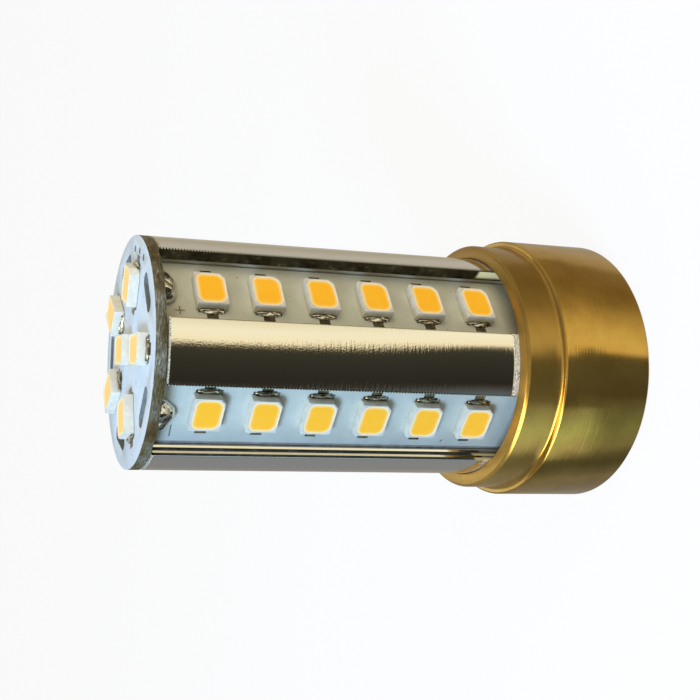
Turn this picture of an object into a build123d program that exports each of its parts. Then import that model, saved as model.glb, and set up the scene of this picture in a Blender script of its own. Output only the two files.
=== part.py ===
from build123d import *
from math import cos, hypot, radians, sin, sqrt
import os

# LED capsule bulb: a slotted metal tube carries lit strips between a brass collar and a lit end board.
# Millimetres. +Z runs along the axis from the collar's rear rim, at z = 0, to the end board.
# Angles turn about +Z and start at -Y, where the middle of one tube band lies.

# Heat-sink tube
tube_r = 11.0
slot_count = 5
slot_width = 7.66
slot_turn = -0.85
slot_depth = 3.3
core_bore_r = 4.5
band_edge_r = 0.28
slot_corner_r = 0.12
tube_end_chamfer = 0.12

# Strips that lie on the slot floors
strip_t = 1.0
strip_side_gap = 0.23
strip_side_shift = 0.1
strip_foot_gap = 0.5
leds_per_strip = 6
led_pitch = 5.35
led_collar_margin = 2.5
led_end_margin = 5.65
led_side_shift = (0.25, 0.0, 0.0, 0.0, -0.08)

# Surface-mount LED package
led_long = 3.6
led_short = 2.9
led_height = 1.0
led_draft_long = 0.1
led_draft_short = 0.04
led_corner = 0.5
window_long = 3.1
window_short = 2.5
window_depth = 0.05
window_corner = 0.6
window_corner_bevel = 0.25

# End board
end_board_t = 1.0
end_board_gap = 0.2
end_slot_length = 4.2
end_slot_width = 1.5
end_slot_inset = 0.1
edge_hole_r = 0.33
edge_hole_inset = 1.3
edge_hole_step = 12
end_led_inset = 4.55
centre_led_shift = (0.12, 0.29)
solder_half_length = 1.7
solder_leg = 1.6
solder_shoulder = 0.5

# Brass collar, a turned cup with a ledge inside
skirt_depth = 7.2
skirt_wall = 1.45
ledge_t = 0.8
ledge_width = 1.05
tube_socket_depth = 3.2
tube_fit = 0.05
front_ring_wall = 1.3
front_ring_h = 3.55
front_chamfer = 0.25
step_width = 0.7
step_chamfer = 0.28
rim_chamfer = 0.25

# Insulator disc and contact pins
insulator_t = 1.5
insulator_fit = 0.05
pin_r = 0.6
pin_fit = 0.02
pin_spacing = 6.35
pin_recess = 0.7
pin_flange_r = 1.0
pin_flange_t = 0.5
pin_tip = 0.2

# Driver inside the core
sleeve_wall = 0.35
sleeve_fit = 0.05
driver_board_t = 1.0
driver_fit = 0.05
driver_end_room = 5.0
capacitor_room = 0.2
capacitor_length = 9.0
capacitor_height = 13.0
rectifier_length = 4.7
rectifier_width = 3.9
rectifier_t = 1.5
rectifier_height = 5.0
wire_r = 0.35
wire_spacing = 4.0
wire_lap = 3.0

# Radii that follow
slot_floor_r = tube_r - slot_depth
strip_width = slot_width - 2 * strip_side_gap
strip_face_r = slot_floor_r + strip_t
collar_bore_r = tube_r + tube_fit
front_ring_r = collar_bore_r + front_ring_wall
collar_r = front_ring_r + step_width
skirt_bore_r = collar_r - skirt_wall
sleeve_r = core_bore_r - sleeve_fit
sleeve_bore_r = sleeve_r - sleeve_wall

# Heights that follow
ledge_z = skirt_depth + ledge_t
tube_z = ledge_z + insulator_t
collar_z = tube_z + tube_socket_depth
first_led_z = collar_z + led_collar_margin
last_led_z = first_led_z + (leds_per_strip - 1) * led_pitch
end_face_z = last_led_z + led_end_margin
end_board_z = end_face_z - end_board_t
tube_top_z = end_board_z - end_board_gap
strip_z = tube_z + strip_foot_gap

# Angles of the end board's packages and slots, and of the tube's slots, which stand a little turned from them
step_angle = 360 / slot_count
band_angles = [-90 + k * step_angle for k in range(slot_count)]
end_slot_angles = [angle + step_angle / 2 for angle in band_angles]
slot_angles = [angle + slot_turn for angle in end_slot_angles]

os.makedirs("parts", exist_ok=True)


def slot_plane(angle, distance):
    """Plane facing outwards at a distance from the axis, with x along the slot's width and y up."""
    out = Vector(cos(radians(angle)), sin(radians(angle)), 0)
    return Plane(origin=out * distance, x_dir=(-out.Y, out.X, 0), z_dir=out)


def end_plane(angle, distance):
    """Plane on the end board's face, with x pointing away from the axis."""
    out = Vector(cos(radians(angle)), sin(radians(angle)), 0)
    return Plane(
        origin=(out.X * distance, out.Y * distance, end_face_z),
        x_dir=out,
        z_dir=(0, 0, 1),
    )


# Brass collar: skirt, ledge and socket bored in one turned ring with a smaller front ring
with BuildPart() as brass_collar:
    with BuildSketch(Plane.XZ):
        with BuildLine():
            Polyline(
                (skirt_bore_r + rim_chamfer / 2, 0),
                (collar_r - rim_chamfer, 0),
                (collar_r, rim_chamfer),
                (collar_r, collar_z - front_ring_h - step_chamfer),
                (collar_r - step_chamfer, collar_z - front_ring_h),
                (front_ring_r, collar_z - front_ring_h),
                (front_ring_r, collar_z - front_chamfer),
                (front_ring_r - front_chamfer, collar_z),
                (collar_bore_r, collar_z),
                (collar_bore_r, ledge_z),
                (collar_bore_r - ledge_width, ledge_z),
                (collar_bore_r - ledge_width, skirt_depth),
                (skirt_bore_r, skirt_depth),
                (skirt_bore_r, rim_chamfer / 2),
                close=True,
            )
        make_face()
    revolve(axis=Axis.Z)
brass_collar.part.label = "brass_collar"
export_step(brass_collar.part, "parts/brass_collar.step")

# Heat-sink tube: extruded round section with flat-floored slots and rounded band edges
with BuildPart() as heat_sink_tube:
    with BuildSketch(Plane.XY.offset(tube_z)) as tube_section:
        Circle(tube_r)
        for angle in slot_angles:
            with Locations(Rot(0, 0, angle) * Pos(tube_r, 0)):
                Rectangle(2 * slot_depth, slot_width, mode=Mode.SUBTRACT)
        by_radius = tube_section.vertices().sort_by(lambda v: hypot(v.X, v.Y))
        fillet(by_radius[: 2 * slot_count], slot_corner_r)
        by_radius = tube_section.vertices().sort_by(lambda v: hypot(v.X, v.Y))
        fillet(by_radius[-2 * slot_count :], band_edge_r)
        Circle(core_bore_r, mode=Mode.SUBTRACT)
    extrude(amount=tube_top_z - tube_z)
    top_face = heat_sink_tube.faces().sort_by(Axis.Z)[-1]
    chamfer(top_face.outer_wire().edges(), tube_end_chamfer)
heat_sink_tube.part.label = "heat_sink_tube"
export_step(heat_sink_tube.part, "parts/heat_sink_tube.step")

# End board: round board with a slot above each strip and a row of small holes near its edge
with BuildPart() as end_board:
    with BuildSketch(Plane.XY.offset(end_board_z)):
        Circle(tube_r)
        for angle in end_slot_angles:
            with Locations(Rot(0, 0, angle) * Pos(strip_face_r - end_slot_inset, 0)):
                SlotOverall(end_slot_length, end_slot_width, rotation=90, mode=Mode.SUBTRACT)
        for step in (-1, 0, 1):
            turn = Rot(0, 0, band_angles[1] + step * edge_hole_step)
            with Locations(turn * Pos(tube_r - edge_hole_inset, 0)):
                Circle(edge_hole_r, mode=Mode.SUBTRACT)
    extrude(amount=end_board_t)
end_board.part.label = "end_board"
export_step(end_board.part, "parts/end_board.step")

# Strips: flat boards on the slot floors, from inside the collar up to the end board
for number, angle in enumerate(slot_angles, start=1):
    with BuildPart() as led_strip:
        with BuildSketch(slot_plane(angle, slot_floor_r)):
            with Locations((strip_side_shift, (strip_z + end_board_z) / 2)):
                Rectangle(strip_width, end_board_z - strip_z)
        extrude(amount=strip_t)
    led_strip.part.label = f"led_strip_{number}"
    export_step(led_strip.part, f"parts/led_strip_{number}.step")

# LED packages: each seat is the centre of a package's foot, with x along its long side
led_seats = {}
for number, angle in enumerate(slot_angles, start=1):
    face = slot_plane(angle, strip_face_r)
    for place in range(leds_per_strip):
        height = last_led_z - place * led_pitch
        side = strip_side_shift + led_side_shift[number - 1]
        seat = Plane(face.from_local_coords((side, height, 0)), face.x_dir, face.z_dir)
        led_seats[f"led_{number}_{place + 1}"] = seat
for number, angle in enumerate(band_angles, start=1):
    led_seats[f"end_led_{number}"] = end_plane(angle, tube_r - end_led_inset)
led_seats["end_led_centre"] = Plane(
    origin=(centre_led_shift[0], centre_led_shift[1], end_face_z),
    x_dir=(0, -1, 0),
    z_dir=(0, 0, 1),
)


def cut_corner_outline(length, width, corner):
    """Closed line round a rectangle whose corner at +x, -y is cut off."""
    Polyline(
        (-length / 2, -width / 2),
        (length / 2 - corner, -width / 2),
        (length / 2, -width / 2 + corner),
        (length / 2, width / 2),
        (-length / 2, width / 2),
        close=True,
    )


# Each package is a drafted block with one cut corner and a shallow light window in its top
for name, seat in led_seats.items():
    with BuildPart() as led_package:
        with BuildSketch(seat):
            with BuildLine():
                cut_corner_outline(led_long, led_short, led_corner)
            make_face()
        with BuildSketch(seat.offset(led_height)):
            with BuildLine():
                cut_corner_outline(led_long - 2 * led_draft_long, led_short - 2 * led_draft_short, led_corner)
            make_face()
        loft(ruled=True)
        with BuildSketch(seat.offset(led_height)) as window:
            with BuildLine():
                cut_corner_outline(window_long, window_short, window_corner)
            make_face()
            chamfer(window.vertices(), window_corner_bevel)
        extrude(amount=-window_depth, mode=Mode.SUBTRACT)
    led_package.part.label = name
    export_step(led_package.part, f"parts/{name}.step")

# Solder joints: a faceted quarter spindle in the corner between each strip's face and the end board
for number, angle in enumerate(slot_angles, start=1):
    face = slot_plane(angle, strip_face_r)
    corner = face.from_local_coords((0, end_board_z, 0))
    with BuildPart() as solder_joint:
        with BuildSketch(Plane(origin=corner, x_dir=face.x_dir, z_dir=(0, 0, -1))):
            with BuildLine():
                Polyline(
                    (-solder_half_length, 0),
                    (-solder_half_length + solder_shoulder, solder_leg - solder_shoulder),
                    (-solder_shoulder, solder_leg),
                    (solder_shoulder, solder_leg),
                    (solder_half_length - solder_shoulder, solder_leg - solder_shoulder),
                    (solder_half_length, 0),
                    close=True,
                )
            make_face()
        revolve(axis=Axis(corner, face.x_dir), revolution_arc=90)
    solder_joint.part.label = f"solder_joint_{number}"
    export_step(solder_joint.part, f"parts/solder_joint_{number}.step")

# Insulator disc on the collar's ledge, drilled for the pins
with BuildPart() as base_insulator:
    with BuildSketch(Plane.XY.offset(ledge_z)):
        Circle(collar_bore_r - insulator_fit)
        with Locations((-pin_spacing / 2, 0), (pin_spacing / 2, 0)):
            Circle(pin_r + pin_fit, mode=Mode.SUBTRACT)
    extrude(amount=insulator_t)
base_insulator.part.label = "base_insulator"
export_step(base_insulator.part, "parts/base_insulator.step")

# Contact pins: turned pins with a flange under the insulator and a bevelled tip inside the skirt
for number, side in enumerate((-1, 1), start=1):
    pin_plane = Plane(origin=(side * pin_spacing / 2, 0, 0), x_dir=(1, 0, 0), z_dir=(0, -1, 0))
    with BuildPart() as contact_pin:
        with BuildSketch(pin_plane):
            with BuildLine():
                Polyline(
                    (0, pin_recess),
                    (pin_r - pin_tip, pin_recess),
                    (pin_r, pin_recess + pin_tip),
                    (pin_r, ledge_z - pin_flange_t),
                    (pin_flange_r, ledge_z - pin_flange_t),
                    (pin_flange_r, ledge_z),
                    (pin_r, ledge_z),
                    (pin_r, tube_z),
                    (0, tube_z),
                    close=True,
                )
            make_face()
        revolve(axis=Axis(pin_plane.origin, (0, 0, 1)))
    contact_pin.part.label = f"contact_pin_{number}"
    export_step(contact_pin.part, f"parts/contact_pin_{number}.step")

# Insulating sleeve that lines the core
with BuildPart() as insulating_sleeve:
    with BuildSketch(Plane.XY.offset(tube_z)):
        Circle(sleeve_r)
        Circle(sleeve_bore_r, mode=Mode.SUBTRACT)
    extrude(amount=tube_top_z - tube_z)
insulating_sleeve.part.label = "insulating_sleeve"
export_step(insulating_sleeve.part, "parts/insulating_sleeve.step")

# Driver board standing on the insulator across the middle of the sleeve
driver_top_z = tube_top_z - driver_end_room
driver_board_width = 2 * (sqrt(sleeve_bore_r**2 - (driver_board_t / 2) ** 2) - driver_fit)
with BuildPart() as driver_board:
    with BuildSketch(Plane.XY.offset(tube_z)):
        Rectangle(driver_board_width, driver_board_t)
    extrude(amount=driver_top_z - tube_z)
driver_board.part.label = "driver_board"
export_step(driver_board.part, "parts/driver_board.step")

# Capacitor can lying along the board, as wide as the room beside the board
capacitor_r = (sleeve_bore_r - driver_board_t / 2 - capacitor_room) / 2
with BuildPart() as smoothing_capacitor:
    with BuildSketch(Plane.XY.offset(tube_z + capacitor_height)):
        with Locations((0, driver_board_t / 2 + capacitor_r)):
            Circle(capacitor_r)
    extrude(amount=capacitor_length)
smoothing_capacitor.part.label = "smoothing_capacitor"
export_step(smoothing_capacitor.part, "parts/smoothing_capacitor.step")

# Bridge rectifier on the board's other face
with BuildPart() as bridge_rectifier:
    with BuildSketch(Plane.XZ.offset(driver_board_t / 2)):
        with Locations((0, tube_z + rectifier_height)):
            Rectangle(rectifier_width, rectifier_length)
    extrude(amount=rectifier_t)
bridge_rectifier.part.label = "bridge_rectifier"
export_step(bridge_rectifier.part, "parts/bridge_rectifier.step")

# Output wires from the board's face straight up to the end board
for number, side in enumerate((-1, 1), start=1):
    with BuildPart() as output_wire:
        with BuildSketch(Plane.XY.offset(driver_top_z - wire_lap)):
            with Locations((side * wire_spacing / 2, driver_board_t / 2 + wire_r)):
                Circle(wire_r)
        extrude(amount=end_board_z - driver_top_z + wire_lap)
    output_wire.part.label = f"output_wire_{number}"
    export_step(output_wire.part, f"parts/output_wire_{number}.step")
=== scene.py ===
import math

import bmesh
import bpy
from mathutils import Matrix, Vector


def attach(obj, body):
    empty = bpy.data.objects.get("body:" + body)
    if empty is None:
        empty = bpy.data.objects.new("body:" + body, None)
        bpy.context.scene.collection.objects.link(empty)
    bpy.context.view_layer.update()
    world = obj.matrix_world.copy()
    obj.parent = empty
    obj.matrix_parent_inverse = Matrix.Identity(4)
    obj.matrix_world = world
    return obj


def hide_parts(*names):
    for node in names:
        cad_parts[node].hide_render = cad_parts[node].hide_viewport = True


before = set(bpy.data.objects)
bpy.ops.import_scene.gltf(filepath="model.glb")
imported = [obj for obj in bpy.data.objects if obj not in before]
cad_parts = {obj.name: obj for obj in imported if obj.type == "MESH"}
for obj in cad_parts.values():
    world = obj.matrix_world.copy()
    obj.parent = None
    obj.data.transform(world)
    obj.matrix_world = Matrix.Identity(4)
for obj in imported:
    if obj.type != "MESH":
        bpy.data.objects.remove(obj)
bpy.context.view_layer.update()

# Camera
# The photograph's viewpoint: close to the bulb on its -Y side, and rolled so that the
# light end lies to the left and the brass collar to the right.
mm = 0.001
bpy.ops.object.camera_add(
    location=(-3.361 * mm, -96.868 * mm, 67.375 * mm),
    rotation=(math.radians(10.747), math.radians(73.877), math.radians(-83.366)),
)
camera = bpy.context.object
camera.name = "camera"
camera.data.lens = 53.84
camera.data.sensor_width = 36
camera.data.shift_x = 0.2
camera.data.shift_y = -0.0571
camera.data.clip_start = 0.001
bpy.context.scene.camera = camera
bpy.context.scene.view_settings.view_transform = "Standard"


# Studio
# A plain pale floor under the collar's rim, one cool window lamp from the light end,
# a warm fill opposite, and a room of tall soft panels and dark gaps that the metal mirrors.
def linear(code):
    """Linear colour of an sRGB hex value."""
    channels = [int(code[k : k + 2], 16) / 255 for k in (1, 3, 5)]
    return [c / 12.92 if c <= 0.04045 else ((c + 0.055) / 1.055) ** 2.4 for c in channels] + [1]


def node(tree, kind, settings=None, links=None):
    """Adds a shader node of a kind, with settings for sockets and attributes, and links from others."""
    new = tree.nodes.new("ShaderNode" + kind)
    for key, value in (settings or {}).items():
        if key == "stops":
            marks = new.color_ramp.elements
            while len(marks) < len(value):
                marks.new(1)
            for mark, (place, code) in zip(marks, value):
                mark.position = place
                mark.color = linear(code)
        elif isinstance(key, int) or key in new.inputs:
            new.inputs[key].default_value = linear(value) if isinstance(value, str) else value
        else:
            setattr(new, key, value)
    for key, (source, output) in (links or {}).items():
        tree.links.new(source.outputs[output], new.inputs[key])
    return new


def empty_material(name):
    """A new material and its node tree, with no node in it yet."""
    material = bpy.data.materials.new(name)
    material.use_nodes = True
    material.node_tree.nodes.clear()
    return material, material.node_tree


room = bpy.data.worlds.new("room")
bpy.context.scene.world = room
room.use_nodes = True
tree = room.node_tree
tree.nodes.clear()
# Turn about the bulb's axis in degrees, and the colour of the room there: lower walls first, then the
# upper part, where a large window stands beside the light end
lower_room = [
    (-180, "#A39C88"),
    (-150, "#87888A"),
    (-122, "#858A8E"),
    (-114, "#616973"),
    (-101, "#303030"),
    (-91, "#50595D"),
    (-81, "#88969F"),
    (-63, "#83A09E"),
    (-54, "#738C8C"),
    (-46, "#66787F"),
    (-37, "#545A5C"),
    (-33, "#46443E"),
    (-29, "#2B2822"),
    (-8, "#33322A"),
    (4, "#3A392E"),
    (6.5, "#4A4434"),
    (8.5, "#8A7C60"),
    (10.5, "#FFF0C8"),
    (22, "#FFF9DC"),
    (30, "#F3EBC8"),
    (37, "#E5DBBA"),
    (45, "#CBC2A2"),
    (54, "#A69B7C"),
    (62, "#8C8463"),
    (75, "#7D6F50"),
    (91, "#867967"),
    (102, "#8B846F"),
    (107, "#B6B1A2"),
    (128, "#BCB6AA"),
    (147, "#AAA28E"),
    (165, "#BEB8A8"),
    (180, "#A39C88"),
]
upper_room = [
    (-180, "#959AA0"),
    (-165, "#959AA0"),
    (-150, "#5A5852"),
    (-92, "#423F34"),
    (-80, "#E0D8C4"),
    (-50, "#E0D8C4"),
    (-38, "#686350"),
    (30, "#6C6656"),
    (60, "#4C4846"),
    (150, "#5A5852"),
    (165, "#959AA0"),
    (180, "#959AA0"),
]
direction = node(tree, "TexCoord")
parts = node(tree, "SeparateXYZ", links={0: (direction, "Generated")})
back = node(tree, "Math", {"operation": "MULTIPLY", 1: -1.0}, {0: (parts, "Y")})
turn = node(tree, "Math", {"operation": "ARCTAN2"}, {0: (parts, "X"), 1: (back, 0)})
# The panels' edges lean: low in the room they stand 10 degrees further round, and nearest the floor 5
lean_out = node(
    tree,
    "MapRange",
    {"From Min": -0.38, "From Max": -0.52, "To Max": math.radians(-10)},
    {"Value": (parts, "Z")},
)
lean_back = node(
    tree,
    "MapRange",
    {"From Min": -0.535, "From Max": -0.555, "To Max": math.radians(5)},
    {"Value": (parts, "Z")},
)
leaned = node(tree, "Math", {"operation": "ADD"}, {0: (turn, 0), 1: (lean_out, 0)})
leaned_back = node(tree, "Math", {"operation": "ADD"}, {0: (leaned, 0), 1: (lean_back, 0)})
share = node(tree, "Math", {"operation": "MULTIPLY_ADD", 1: 0.5 / math.pi, 2: 0.5}, {0: (leaned_back, 0)})
walls = []
for part in (lower_room, upper_room):
    stops = [((angle + 180) / 360, code) for angle, code in part]
    walls.append(node(tree, "ValToRGB", {"stops": stops}, {0: (share, 0)}))
# Heights between which the walls give way to the brighter upper part
wall_top = {"From Min": 0.22, "From Max": 0.4}
lift = node(tree, "MapRange", wall_top, {"Value": (parts, "Z")})
whole = node(
    tree, "Mix", {"data_type": "RGBA"}, {0: (lift, 0), 6: (walls[0], "Color"), 7: (walls[1], "Color")}
)
level = node(tree, "MapRange", {**wall_top, "To Min": 1.0, "To Max": 3.4}, {"Value": (parts, "Z")})
# One panel is lit down to a sharp line
panel_middle, panel_half = math.radians(-60), math.radians(26)
beside = node(tree, "Math", {"operation": "COMPARE", 1: panel_middle, 2: panel_half}, {0: (turn, 0)})
above = node(
    tree, "MapRange", {"From Min": -0.572, "From Max": -0.56, "To Max": 1.8}, {"Value": (parts, "Z")}
)
lit = node(tree, "Math", {"operation": "MULTIPLY"}, {0: (beside, 0), 1: (above, 0)})
whole_level = node(tree, "Math", {"operation": "MULTIPLY_ADD"}, {0: (level, 0), 1: (lit, 0), 2: (level, 0)})
rays = node(tree, "LightPath")
soft_room = node(tree, "Background", {"Color": "#F4F4F2", "Strength": 0.6})
mirrored_room = node(tree, "Background", links={"Color": (whole, 2), "Strength": (whole_level, 0)})
white_room = node(tree, "Background", {"Color": "#FFFFFF", "Strength": 1.0})
metal_sees = node(
    tree, "MixShader", links={0: (rays, "Is Glossy Ray"), 1: (soft_room, 0), 2: (mirrored_room, 0)}
)
seen = node(
    tree, "Math", {"operation": "MAXIMUM"}, {0: (rays, "Is Camera Ray"), 1: (rays, "Is Transmission Ray")}
)
camera_sees = node(tree, "MixShader", links={0: (seen, 0), 1: (metal_sees, 0), 2: (white_room, 0)})
node(tree, "OutputWorld", links={"Surface": (camera_sees, 0)})

# Each lamp's place and size in mm, its power in watts, and the point on the axis that both look at
lamps = (
    ("window_lamp", (-150, -170, 190), 90, 0.87, "#A6CCFF"),
    ("fill_lamp", (190, -130, 90), 160, 0.24, "#FFE6BC"),
)
lit_point = Vector((0, 0, 30 * mm))
for name, place, size, power, code in lamps:
    bpy.ops.object.light_add(type="AREA", location=[p * mm for p in place])
    lamp = bpy.context.object
    lamp.name = name
    lamp.data.size = size * mm
    lamp.data.energy = power
    lamp.data.color = linear(code)[:3]
    lamp.rotation_euler = (lit_point - lamp.location).to_track_quat("-Z", "Y").to_euler()
    lamp.visible_glossy = False

floor_width = 6.0
bpy.ops.mesh.primitive_plane_add(size=floor_width, location=(0, 0, 0))
floor = bpy.context.object
floor.name = "floor"
floor.visible_glossy = False
paper, tree = empty_material("white_paper")
# White where the camera looks at it, and plain matte paper to everything else
rays = node(tree, "LightPath")
matte = node(tree, "BsdfDiffuse", {"Color": "#F2F2F0"})
glow = node(tree, "Emission", {"Color": "#FFFFFF"}, {"Strength": (rays, "Is Camera Ray")})
pale = node(tree, "MixShader", {0: 0.9}, {1: (matte, 0), 2: (glow, 0)})
node(tree, "OutputMaterial", links={"Surface": (pale, 0)})
floor.data.materials.append(paper)


# Brass collar
# Turned from one brass bar on a lathe: a wide rear ring, a step and a narrower front ring,
# bored for the tube in front and for the lamp holder behind. Its chamfers catch the light.
def select_only(*pieces):
    """Selects these pieces alone, the first as the active one, or nothing at all."""
    bpy.ops.object.select_all(action="DESELECT")
    for piece in pieces:
        piece.select_set(True)
    if pieces:
        bpy.context.view_layer.objects.active = pieces[0]


def pick(kind, wanted):
    """In edit mode, selects only the points, edges or faces that the test wants."""
    mesh = bpy.context.edit_object.data
    bpy.ops.mesh.select_mode(type=kind)
    bpy.ops.mesh.select_all(action="DESELECT")
    form = bmesh.from_edit_mesh(mesh)
    for item in {"VERT": form.verts, "EDGE": form.edges, "FACE": form.faces}[kind]:
        if wanted(item):
            item.select_set(True)
    form.select_flush_mode()
    bmesh.update_edit_mesh(mesh)


def turned(name, rings, place=(0, 0), steps=256, solid=False):
    """A lathe-turned piece: a circle extruded through rings of (radius, height) in mm."""
    select_only()
    radius, height = rings[0]
    x, y = place[0] * mm, place[1] * mm
    bpy.ops.mesh.primitive_circle_add(
        vertices=steps,
        radius=radius * mm,
        fill_type="NGON" if solid else "NOTHING",
        location=(x, y, height * mm),
    )
    piece = bpy.context.object
    piece.name = name
    bpy.ops.object.mode_set(mode="EDIT")
    bpy.ops.mesh.select_all(action="SELECT")
    for new_radius, new_height in rings[1:] + ([] if solid else rings[:1]):
        bpy.ops.mesh.extrude_region_move(
            TRANSFORM_OT_translate={"value": (0, 0, (new_height - height) * mm)}
        )
        grow = new_radius / radius
        bpy.ops.transform.resize(value=(grow, grow, 1), center_override=(x, y, new_height * mm))
        radius, height = new_radius, new_height
    bpy.ops.mesh.select_all(action="SELECT")
    bpy.ops.mesh.remove_doubles(threshold=0.0005 * mm)
    bpy.ops.mesh.normals_make_consistent(inside=False)
    bpy.ops.object.mode_set(mode="OBJECT")
    bpy.ops.object.transform_apply()
    return piece


def soften(piece, width, segments=2, angle=30):
    """Rounds a piece's sharp edges by a width in mm and shades it smooth between them."""
    select_only(piece)
    rounding = piece.modifiers.new("rounding", "BEVEL")
    rounding.width = width * mm
    rounding.segments = segments
    rounding.limit_method = "ANGLE"
    rounding.angle_limit = math.radians(angle)
    rounding.use_clamp_overlap = True
    bpy.ops.object.modifier_apply(modifier=rounding.name)
    bpy.ops.object.shade_smooth_by_angle(angle=math.radians(angle))


collar_rings = [
    (11.73, 0),
    (12.8, 0),
    (13.04, 0.25),
    (13.04, 9.0),
    (12.89, 9.15),
    (12.62, 9.15),
    (12.52, 9.19),
    (12.43, 9.3),
    (12.38, 9.5),
    (12.35, 9.85),
    (12.35, 12.45),
    (12.1, 12.7),
    (11.25, 12.86),
    (11.06, 12.8),
    (11.05, 8.0),
    (10.0, 8.0),
    (10.0, 7.2),
    (11.6, 7.2),
    (11.6, 0.13),
]
collar = turned("turned_collar", collar_rings)
soften(collar, 0.035)

# Brass: a metal of warm yellow, short of fully metallic for its film of dust and wax. That film browns
# the narrow ring a little, and much more on one side of it, a painted shade for the darker reflection
# there. The lathe leaves rings about 0.15 mm apart, and handling leaves faint duller patches. A noise's
# scale is the number of its waves in a millimetre.
brass, tree = empty_material("turned_brass")
place = node(tree, "TexCoord")
parts = node(tree, "SeparateXYZ", links={0: (place, "Object")})
flat = node(tree, "VectorMath", {"operation": "MULTIPLY", 1: (1, 1, 0)}, {0: (place, "Object")})
radius = node(tree, "VectorMath", {"operation": "LENGTH"}, {0: (flat, 0)})
# The tool's way over flats and faces alike: height, and a share of the radius
groove_pitch, radius_share = 0.15, 0.8
travel = node(
    tree, "Math", {"operation": "MULTIPLY_ADD", 1: radius_share}, {0: (radius, "Value"), 2: (parts, "Z")}
)
travel_steps = node(tree, "Math", {"operation": "MULTIPLY", 1: 1 / (groove_pitch * mm)}, {0: (travel, 0)})
slow = node(tree, "VectorMath", {"operation": "SCALE", "Scale": 0.06 / mm}, {0: (flat, 0)})
slow_parts = node(tree, "SeparateXYZ", links={0: (slow, 0)})
around = node(
    tree, "CombineXYZ", links={"X": (slow_parts, "X"), "Y": (slow_parts, "Y"), "Z": (travel_steps, 0)}
)
grooves = node(tree, "TexNoise", {"Scale": 1.0, "Detail": 3.0, "Roughness": 0.6}, {"Vector": (around, 0)})
patches = node(
    tree, "TexNoise", {"Scale": 0.26 / mm, "Detail": 5.0, "Roughness": 0.62}, {"Vector": (place, "Object")}
)
tone = node(
    tree,
    "ValToRGB",
    {"stops": [(0.3, "#BC9244"), (0.55, "#CDA34E"), (0.8, "#D6AF5E")]},
    {0: (patches, "Fac")},
)
dull = node(
    tree,
    "MapRange",
    {"From Min": 0.3, "From Max": 0.75, "To Min": 0.06, "To Max": 0.13},
    {"Value": (patches, "Fac")},
)
# The narrow front ring starts above the step, and the mouth above its chamfer
front_low, mouth_low = 9.3, 12.71
front = node(tree, "Math", {"operation": "GREATER_THAN", 1: front_low * mm}, {0: (parts, "Z")})
mouth = node(tree, "Math", {"operation": "GREATER_THAN", 1: mouth_low * mm}, {0: (parts, "Z")})
duller = node(tree, "Math", {"operation": "MULTIPLY_ADD", 1: 0.09}, {0: (front, 0), 2: (dull, 0)})
dullest = node(tree, "Math", {"operation": "MULTIPLY_ADD", 1: 0.25}, {0: (mouth, 0), 2: (duller, 0)})
purity = node(tree, "MapRange", {"To Min": 0.85, "To Max": 0.74}, {"Value": (front, 0)})
# Painted shade: the brown deepens from 0.06 to 0.48 towards one side of the narrow ring, for its darker
# reflection
side = node(
    tree,
    "MapRange",
    {"From Min": -6 * mm, "From Max": -1 * mm, "To Min": 0.06, "To Max": 0.48},
    {"Value": (parts, "X")},
)
film_and_painted_shade = node(tree, "Math", {"operation": "MULTIPLY"}, {0: (front, 0), 1: (side, 0)})
filmed_and_painted_shade = node(tree, "Mix", {"data_type": "RGBA", 7: linear("#7A5A20")}, {0: (film_and_painted_shade, 0), 6: (tone, "Color")})
marks = node(tree, "Bump", {"Strength": 0.45, "Distance": 0.02 * mm}, {"Height": (grooves, "Fac")})
metal = node(
    tree,
    "BsdfPrincipled",
    links={
        "Base Color": (filmed_and_painted_shade, 2), "Metallic": (purity, 0), "Roughness": (dullest, 0), "Normal": (marks, 0)
    },
)
node(tree, "OutputMaterial", links={"Surface": (metal, 0)})
collar.data.materials.append(brass)
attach(collar, "root")
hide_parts("brass_collar")


# Heat-sink tube
# An aluminium extrusion with flat-floored slots, nickel plated and polished: five round bands
# stand between the slots. It is pushed into the collar until it meets the insulator.
# Each slot's cutter left one edge toothed and the other, save in the first slot, in two long steps.
tube_radius, tube_low, tube_high = 11.0, 9.5, 46.4
slot_floor, slot_width, core_radius = 7.7, 7.66, 4.5
fifth = 72
slot_turns = [-54.85 + fifth * k for k in range(5)]
band_turns = [-90 + fifth * k for k in range(5)]


def cut(piece, cutter):
    """Cuts a cutter's shape out of a piece and throws the cutter away."""
    select_only(piece)
    cutting = piece.modifiers.new("cutting", "BOOLEAN")
    cutting.operation = "DIFFERENCE"
    cutting.solver = "EXACT"
    cutting.object = cutter
    bpy.ops.object.modifier_apply(modifier=cutting.name)
    bpy.data.objects.remove(cutter)


def edge_between(edge, angle):
    """Whether an edge lies between two faces that turn by more than an angle in degrees."""
    return len(edge.link_faces) == 2 and edge.calc_face_angle() > math.radians(angle)


select_only()
bpy.ops.mesh.primitive_cylinder_add(
    vertices=360,
    radius=tube_radius * mm,
    depth=(tube_high - tube_low) * mm,
    location=(0, 0, (tube_low + tube_high) / 2 * mm),
)
tube = bpy.context.object
tube.name = "slotted_tube"
# The cutters reach past both ends of the tube, and its sharp edges are broken afterwards
mill_deep, mill_long, mill_middle, drill_long = 6, 60, 28, 80
band_edge, end_chamfer = 0.08, 0.22
for turn in slot_turns:
    bpy.ops.mesh.primitive_cube_add(size=1, rotation=(0, 0, math.radians(turn)))
    mill = bpy.context.object
    mill.scale = (mill_deep * mm, slot_width * mm, mill_long * mm)
    reach = Vector(((slot_floor + mill_deep / 2) * mm, 0, mill_middle * mm))
    mill.location = Matrix.Rotation(math.radians(turn), 3, "Z") @ reach
    cut(tube, mill)
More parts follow.
